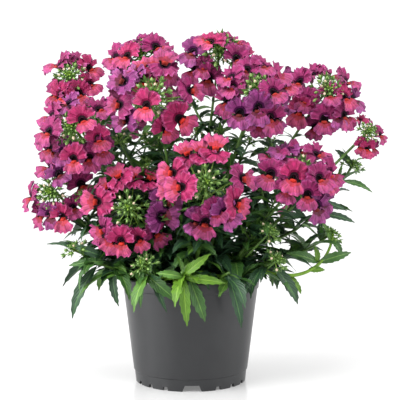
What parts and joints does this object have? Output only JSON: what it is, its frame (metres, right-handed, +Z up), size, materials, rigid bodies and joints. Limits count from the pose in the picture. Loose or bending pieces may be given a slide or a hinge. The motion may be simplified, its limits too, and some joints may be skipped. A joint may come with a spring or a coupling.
{
  "type": "potted nemesia",
  "caption": "Bushy flowering nemesia with rounded heads of two-lipped magenta flowers on slender leafy stems, in a grey nursery pot.",
  "frame": {"origin": "middle of the pot's flat underside, on the surface it stands on", "axes": "+Z up, the side seen first faces -Y, +X to its right"},
  "size_m": [0.3208, 0.2184, 0.3127],
  "materials": {
    "pot_plastic": "satin",
    "potting_mix": "matte",
    "stem": "satin",
    "leaf": "satin",
    "young_leaf": "satin",
    "petal": "matte"
  },
  "bodies": {
    "root": {"flowers_back_left": "petal", "flowers_back_low": "petal", "flowers_back_middle": "petal", "flowers_back_right": "petal", "flowers_back_upper_left": "petal", "flowers_back_upper_right": "petal", "flowers_left_low": "petal", "flowers_left_middle": "petal", "flowers_left_top": "petal", "flowers_middle": "petal", "flowers_middle_left": "petal", "flowers_right_middle": "petal", "flowers_right_tip": "petal", "flowers_right_top": "petal", "flowers_top_left": "petal", "flowers_top_middle": "petal", "flowers_upper_left": "petal", "flowers_upper_right": "petal", "foliage_back_middle": "leaf", "foliage_left_low": "leaf", "foliage_left_middle": "leaf", "foliage_left_top": "leaf", "foliage_middle": "leaf", "foliage_middle_left": "leaf", "foliage_right_middle": "leaf", "foliage_right_top": "leaf", "foliage_rim_back": "leaf", "foliage_rim_back_left": "leaf", "foliage_rim_back_middle": "leaf", "foliage_rim_back_right": "leaf", "foliage_rim_far_left": "leaf", "foliage_rim_far_right": "leaf", "foliage_rim_front": "young_leaf", "foliage_rim_front_left": "leaf", "foliage_rim_front_right": "leaf", "foliage_rim_left": "leaf", "foliage_rim_right": "leaf", "foliage_top_left": "leaf", "foliage_top_middle": "leaf", "foliage_upper_left": "leaf", "foliage_upper_right": "leaf", "pot": "pot_plastic", "potting_mix": "potting_mix", "stem_back_middle": "stem", "stem_left_low": "stem", "stem_left_middle": "stem", "stem_left_top": "stem", "stem_middle": "stem", "stem_middle_left": "stem", "stem_right_middle": "stem", "stem_right_top": "stem", "stem_top_left": "stem", "stem_top_middle": "stem", "stem_upper_left": "stem", "stem_upper_right": "stem"}
  },
  "joints": []
}
